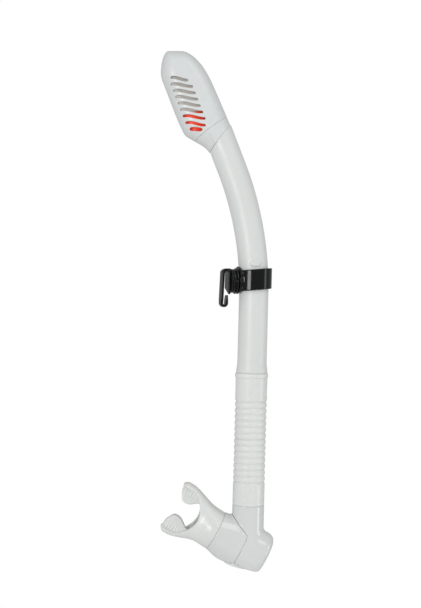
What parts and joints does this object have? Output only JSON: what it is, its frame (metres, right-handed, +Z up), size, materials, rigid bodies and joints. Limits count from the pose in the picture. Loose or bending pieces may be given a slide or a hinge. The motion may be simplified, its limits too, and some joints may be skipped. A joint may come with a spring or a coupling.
{
  "type": "snorkel tube",
  "caption": "Dry-top snorkel with a louvred float valve head, a bent barrel, a sliding strap keeper, a corrugated hose and a swivelling mouthpiece.",
  "frame": {"origin": "on the strap seat, the flat face of the keeper's hook that the mask strap bears on", "axes": "+Z up along the lower barrel, +X from the hook towards the barrel with the dry top leaning back to -X, +Y across the snorkel's plane of symmetry, away from the side seen first"},
  "size_m": [0.1113, 0.0344, 0.4476],
  "materials": {
    "white_gloss": "glossy off-white moulding",
    "white_silicone": "satin translucent-white silicone",
    "black_gloss": "polished black moulding",
    "red_gloss": "bright red foam-filled float",
    "steel": "plain stainless",
    "seal_rubber": "black seal rubber"
  },
  "bodies": {
    "hook": {"strap_hook": "black_gloss", "ratchet_disc": "black_gloss", "swivel_clip": "steel"},
    "keeper": {"keeper_band": "black_gloss", "keeper_hub": "black_gloss"},
    "barrel": {"barrel": "white_gloss", "dry_top_base": "white_gloss", "dry_top_cover": "white_gloss", "valve_frame": "white_gloss", "valve_seat": "white_gloss", "flap_pin": "steel", "dry_top_o_ring": "seal_rubber"},
    "float": {"float": "red_gloss"},
    "flap": {"flap_plate": "white_gloss", "flap_seal": "white_silicone"},
    "hose": {"flex_hose": "white_silicone"},
    "lower_unit": {"lower_body": "white_gloss", "mouthpiece_connector": "white_gloss", "connector_o_ring": "seal_rubber", "purge_seat": "white_gloss", "purge_cover": "white_gloss", "mouthpiece_ring": "steel"},
    "purge": {"purge_valve": "white_silicone"},
    "mouthpiece": {"mouthpiece": "white_silicone"}
  },
  "joints": [
    {"name": "hook_swivel", "type": "hinge", "parent": "hook", "child": "keeper", "pos_m": [0, 0, 0], "axis": [0.9659, 0.2588, 0], "range_deg": [-90, 90]},
    {"name": "keeper_slide", "type": "slide", "parent": "keeper", "child": "barrel", "axis": [0, 0, 1], "range_m": [0, 0.045]},
    {"name": "float_rise", "type": "slide", "parent": "barrel", "child": "float", "axis": [-0.3827, 0, 0.9239], "range_m": [0, 0.009]},
    {"name": "flap_rock", "type": "hinge", "parent": "barrel", "child": "flap", "pos_m": [-0.0334, 0.00621, 0.16252], "axis": [0, 1, 0], "range_deg": [0, 35]},
    {"name": "hose_bend", "type": "hinge", "parent": "barrel", "child": "hose", "pos_m": [0.02363, 0.00621, -0.12], "axis": [0, 1, 0], "range_deg": [-30, 30], "stiffness_Nm_per_rad": 1.5, "deforming": ["flex_hose"]},
    {"name": "hose_sway", "type": "hinge", "parent": "hose", "child": "lower_unit", "pos_m": [0.02363, 0.00621, -0.154], "axis": [1, 0, 0], "range_deg": [-30, 30], "stiffness_Nm_per_rad": 1.5, "deforming": ["flex_hose"]},
    {"name": "purge_lift", "type": "slide", "parent": "lower_unit", "child": "purge", "axis": [-0.2351, 0, -0.972], "range_m": [0, 0.001], "stiffness_N_per_m": 60},
    {"name": "mouthpiece_swivel", "type": "hinge", "parent": "lower_unit", "child": "mouthpiece", "pos_m": [-0.00387, 0.00621, -0.2146], "axis": [-0.8829, 0, 0.4695], "range_deg": [-90, 90]}
  ],
  "couplings": [
    {"joint": "flap_rock", "follows": "float_rise", "rad_per_m": 67.873}
  ]
}
